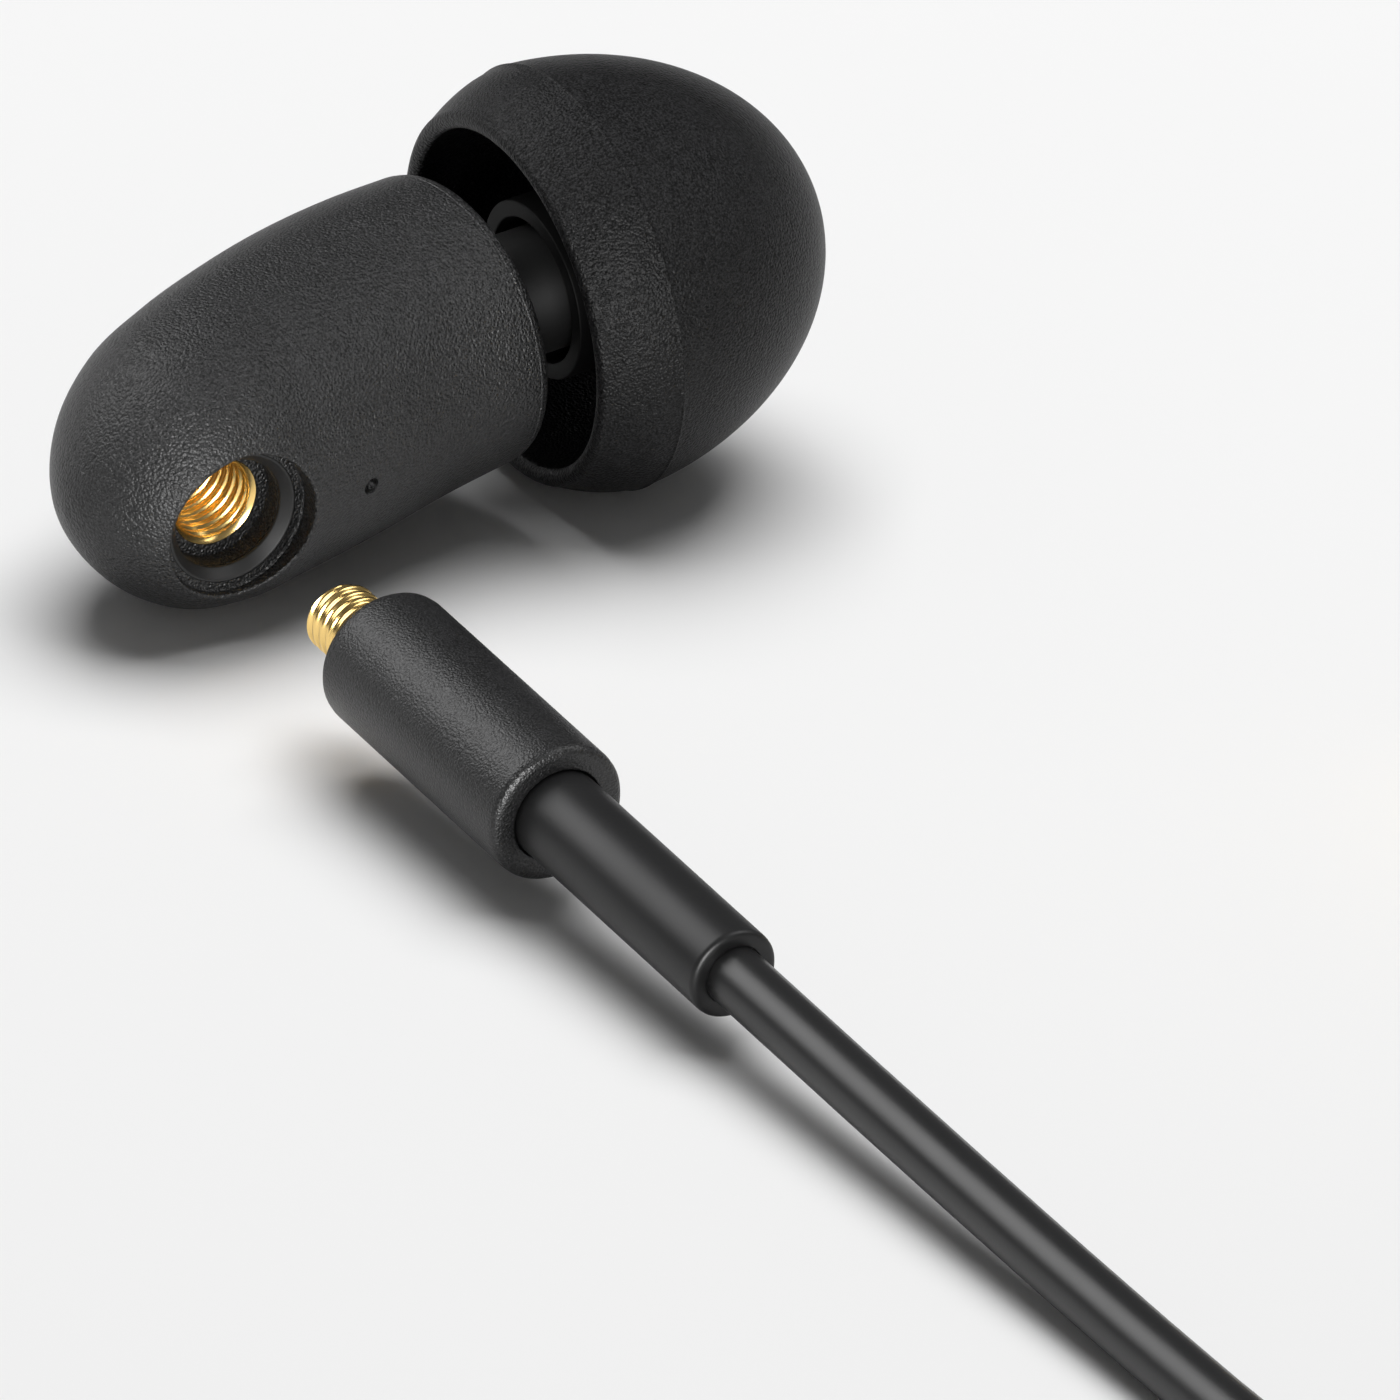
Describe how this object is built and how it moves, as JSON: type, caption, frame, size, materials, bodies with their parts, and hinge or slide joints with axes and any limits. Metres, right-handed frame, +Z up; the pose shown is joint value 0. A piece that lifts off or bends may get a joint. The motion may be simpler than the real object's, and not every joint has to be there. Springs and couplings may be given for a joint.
{
  "type": "in ear monitor earpiece with detachable lead",
  "caption": "In ear monitor earpiece with a pull-off ear tip, a threaded recessed socket and a detachable screw-coupled lead that ends in a jack plug.",
  "frame": {"origin": "centre of the bottom of the earpiece's box, with its ear tip and without its lead, on the surface it lies on", "axes": "+X along the earpiece towards the ear tip, +Y away from the lead, +Z up"},
  "size_m": [0.0372, 0.098, 0.0127],
  "materials": {
    "shell_black": "moulded black polymer with a fine leather grain",
    "tip_silicone": "grained black silicone",
    "core_silicone": "smooth black silicone",
    "nozzle_black": "satin black polymer",
    "gold": "polished gold plating",
    "steel": "fine satin steel",
    "magnet": "nickel plating",
    "copper": "enamelled copper",
    "film": "thin translucent film",
    "foam": "open foam",
    "board": "solder mask",
    "insulator": "white moulded polymer",
    "black_insulator": "black moulded polymer",
    "housing_black": "finely grained black coating",
    "relief_rubber": "smooth satin rubber",
    "cable_jacket": "smooth satin jacket",
    "strap": "woven hook and loop"
  },
  "bodies": {
    "earpiece": {"body_shell": "shell_black", "front_cap": "nozzle_black", "nozzle_tube": "nozzle_black", "wax_mesh": "steel", "mesh_retaining_ring": "steel", "acoustic_damper": "foam", "driver_gasket": "core_silicone", "driver_basket": "nozzle_black", "driver_diaphragm": "film", "voice_coil": "copper", "pole_plate": "steel", "driver_magnet": "magnet", "yoke_cup": "steel", "terminal_board": "board", "signal_wires": "copper", "socket_bushing": "gold", "socket_seat_ring": "nozzle_black", "socket_nut": "gold", "socket_insulator": "insulator", "socket_contact": "gold", "vent_screen": "steel"},
    "ear_tip": {"tip_dome": "tip_silicone", "tip_core": "core_silicone"},
    "coupling": {"plug_thread": "gold", "plug_housing": "housing_black"},
    "lead": {"plug_insulator": "insulator", "plug_contact_pin": "gold", "crimp_ferrule": "steel", "cable_tail": "cable_jacket", "strain_relief": "relief_rubber", "lead_cable": "cable_jacket", "lead_coil": "cable_jacket", "coil_tie": "strap", "jack_cable": "cable_jacket", "jack_strain_relief": "relief_rubber", "jack_barrel": "housing_black", "jack_sleeve": "gold", "jack_insulator_rear": "black_insulator", "jack_ring": "gold", "jack_insulator_front": "black_insulator", "jack_tip": "gold"}
  },
  "joints": [
    {"name": "ear_tip_pull", "type": "slide", "parent": "earpiece", "child": "ear_tip", "axis": [0.9912, -0.0087, 0.132], "range_m": [0, 0.0085]},
    {"name": "lead_plug_in", "type": "slide", "parent": "earpiece", "child": "lead", "axis": [0, 0.9979, 0.0654], "range_m": [0, 0.00835]},
    {"name": "coupling_spin", "type": "hinge", "parent": "lead", "child": "coupling", "pos_m": [-0.00891, -0.01871, 0.00318], "axis": [0, 0.9979, 0.0654], "continuous": true}
  ]
}
